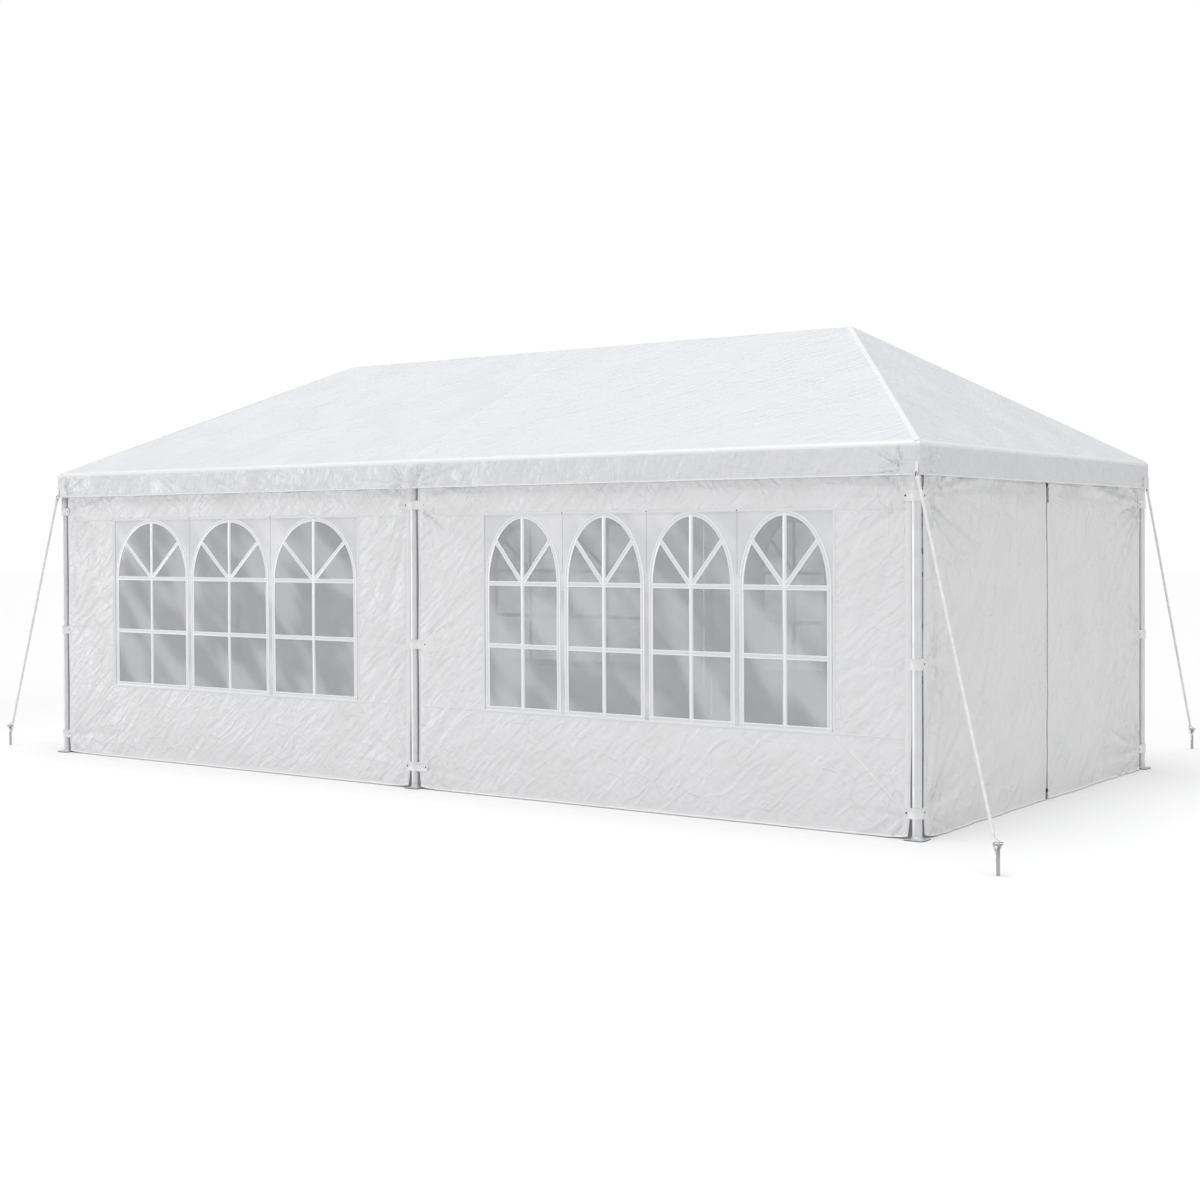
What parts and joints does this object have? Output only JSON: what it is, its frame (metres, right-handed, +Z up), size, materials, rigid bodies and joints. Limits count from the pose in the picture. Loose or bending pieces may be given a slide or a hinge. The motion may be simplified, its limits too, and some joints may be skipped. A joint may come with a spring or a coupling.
{
  "type": "marquee tent",
  "caption": "White party marquee: a push-together steel tube frame under a hipped fabric cover, with arched window walls, zipped end doors, guy ropes and stakes",
  "frame": {"origin": "on the ground, at the middle of the underside of the front middle post's foot plate", "axes": "+X along the ridge towards the right end, +Y from the front side to the back side, +Z up"},
  "size_m": [7.301, 4.7483, 2.53],
  "materials": {
    "cover_cloth": "satin",
    "wall_cloth": "satin",
    "window_film": "gloss",
    "window_bar": "satin",
    "frame_tube": "satin",
    "joint_steel": "satin",
    "clip_plastic": "satin",
    "zip_tape": "matte",
    "rope": "matte",
    "stake_steel": "polished"
  },
  "bodies": {
    "root": {"roof_front": "cover_cloth", "roof_back": "cover_cloth", "roof_right": "cover_cloth", "roof_left": "cover_cloth", "valance_front": "cover_cloth", "valance_back": "cover_cloth", "valance_right": "cover_cloth", "valance_left": "cover_cloth", "wall_front_left": "wall_cloth", "wall_front_right": "wall_cloth", "wall_back_left": "wall_cloth", "wall_back_right": "wall_cloth", "window_front_left": "window_film", "window_front_right": "window_film", "window_back_left": "window_film", "window_back_right": "window_film", "door_right_front": "wall_cloth", "door_right_back": "wall_cloth", "door_left_front": "wall_cloth", "door_left_back": "wall_cloth", "zip_right": "zip_tape", "zip_left": "zip_tape", "post_front_left": "frame_tube", "post_front_middle": "frame_tube", "post_front_right": "frame_tube", "post_back_left": "frame_tube", "post_back_middle": "frame_tube", "post_back_right": "frame_tube", "eave_joint_front_left": "joint_steel", "eave_joint_front_middle": "joint_steel", "eave_joint_front_right": "joint_steel", "eave_joint_back_left": "joint_steel", "eave_joint_back_middle": "joint_steel", "eave_joint_back_right": "joint_steel", "eave_rail_front_left": "frame_tube", "eave_rail_front_right": "frame_tube", "eave_rail_back_left": "frame_tube", "eave_rail_back_right": "frame_tube", "eave_rail_left": "frame_tube", "eave_rail_right": "frame_tube", "hip_rafter_front_left": "frame_tube", "hip_rafter_front_right": "frame_tube", "hip_rafter_back_left": "frame_tube", "hip_rafter_back_right": "frame_tube", "middle_rafter_front": "frame_tube", "middle_rafter_back": "frame_tube", "ridge": "frame_tube", "guy_rope_front_left": "rope", "guy_rope_front_right": "rope", "guy_rope_back_left": "rope", "guy_rope_back_right": "rope", "stake_front_left": "stake_steel", "stake_front_right": "stake_steel", "stake_back_left": "stake_steel", "stake_back_right": "stake_steel"}
  },
  "joints": []
}
